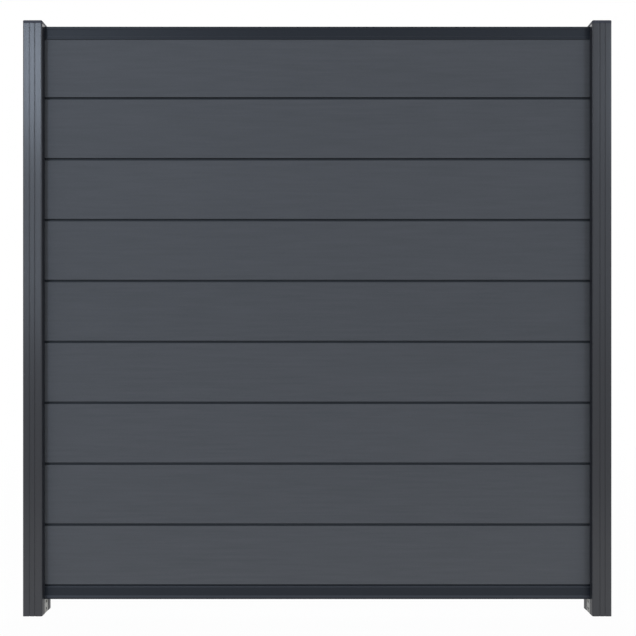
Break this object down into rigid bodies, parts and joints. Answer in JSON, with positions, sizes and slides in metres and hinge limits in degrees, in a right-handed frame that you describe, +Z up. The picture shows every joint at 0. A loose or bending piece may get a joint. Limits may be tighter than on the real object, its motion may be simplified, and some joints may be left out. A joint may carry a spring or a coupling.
{
  "type": "garden privacy screen",
  "caption": "Garden privacy screen: horizontal tongue-and-groove wood-plastic boards between slotted aluminium posts, with a start rail, a finishing rail and flat post caps.",
  "frame": {"origin": "on the ground, midway between the two posts and midway through their depth", "axes": "+Z up along the posts, +X along the boards to the right post as seen from the front, -Y out of the front"},
  "size_m": [1.818, 0.06, 1.84],
  "materials": {
    "post": "satin",
    "rail": "satin",
    "cap": "satin",
    "board": "matte",
    "seal": "matte",
    "support": "matte",
    "screw": "satin"
  },
  "bodies": {
    "root": {"left_post": "post", "right_post": "post", "left_cover_strip": "post", "right_cover_strip": "post", "left_post_cap": "cap", "right_post_cap": "cap", "left_front_seal": "seal", "left_back_seal": "seal", "right_front_seal": "seal", "right_back_seal": "seal", "left_rail_support": "support", "right_rail_support": "support", "left_support_screw_lower": "screw", "left_support_screw_upper": "screw", "right_support_screw_lower": "screw", "right_support_screw_upper": "screw", "bottom_rail": "rail", "top_rail": "rail", "board_1": "board", "board_2": "board", "board_3": "board", "board_4": "board", "board_5": "board", "board_6": "board", "board_7": "board", "board_8": "board", "board_9": "board"}
  },
  "joints": []
}
